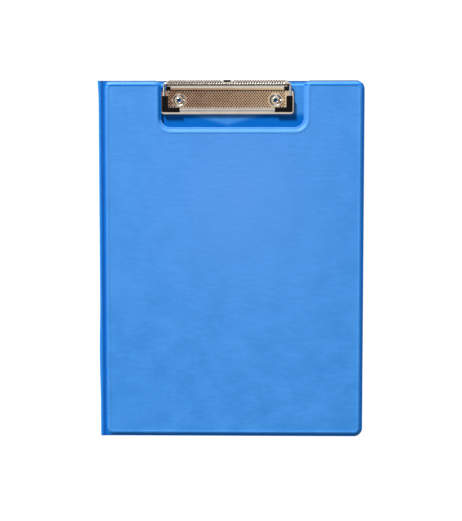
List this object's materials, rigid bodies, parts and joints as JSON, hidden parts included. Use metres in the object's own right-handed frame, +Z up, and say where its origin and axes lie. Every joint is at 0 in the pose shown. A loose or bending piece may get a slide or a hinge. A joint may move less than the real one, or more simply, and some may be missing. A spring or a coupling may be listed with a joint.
{
  "type": "fold-over clipboard",
  "caption": "Closed A4 fold-over clipboard with a soft spine, a notched front cover, and a sprung wire-bail clip with rubber corner grips on the back panel.",
  "frame": {"origin": "centre of the footprint, on the table", "axes": "+X across the page away from the spine, +Y up the page towards the clip, +Z up out of the closed front cover"},
  "size_m": [0.235, 0.317, 0.0078],
  "materials": {
    "skin_blue": "satin PVC sheet with a fine leather grain",
    "spine_blue": "satin PVC sheet with a fine leather grain",
    "greyboard": "raw grey board",
    "pocket_film": "clear blue PVC film",
    "nickel_sheet": "nickel plated, knurled",
    "nickel_wire": "bright nickel plate",
    "spring_steel": "oiled spring wire",
    "grip_black": "moulded black soft plastic"
  },
  "bodies": {
    "back_panel": {"back_board": "greyboard", "back_outer_skin": "skin_blue", "back_inner_skin": "skin_blue", "clip_plate": "nickel_sheet", "rivet_left": "nickel_wire", "rivet_right": "nickel_wire", "torsion_spring_left": "spring_steel", "torsion_spring_right": "spring_steel"},
    "spine": {"spine_outer_skin": "spine_blue", "spine_inner_skin": "spine_blue"},
    "cover": {"cover_board": "greyboard", "cover_outer_skin": "skin_blue", "cover_inner_skin": "skin_blue", "cover_pocket": "pocket_film"},
    "bail": {"clamp_wire": "nickel_wire", "grip_left": "grip_black", "grip_right": "grip_black"}
  },
  "joints": [
    {"name": "spine_fold", "type": "hinge", "parent": "back_panel", "child": "spine", "pos_m": [-0.1171, 0, 0.0006], "axis": [0, -1, 0], "range_deg": [0, 180]},
    {"name": "cover_fold", "type": "hinge", "parent": "spine", "child": "cover", "pos_m": [-0.1171, 0, 0.0056], "axis": [0, -1, 0], "range_deg": [0, 180]},
    {"name": "clamp_lift", "type": "hinge", "parent": "back_panel", "child": "bail", "pos_m": [-0.0035, 0.156, 0.0053], "axis": [-1, 0, 0], "range_deg": [0, 90], "stiffness_Nm_per_rad": 0.05, "springref_deg": -68.75}
  ]
}
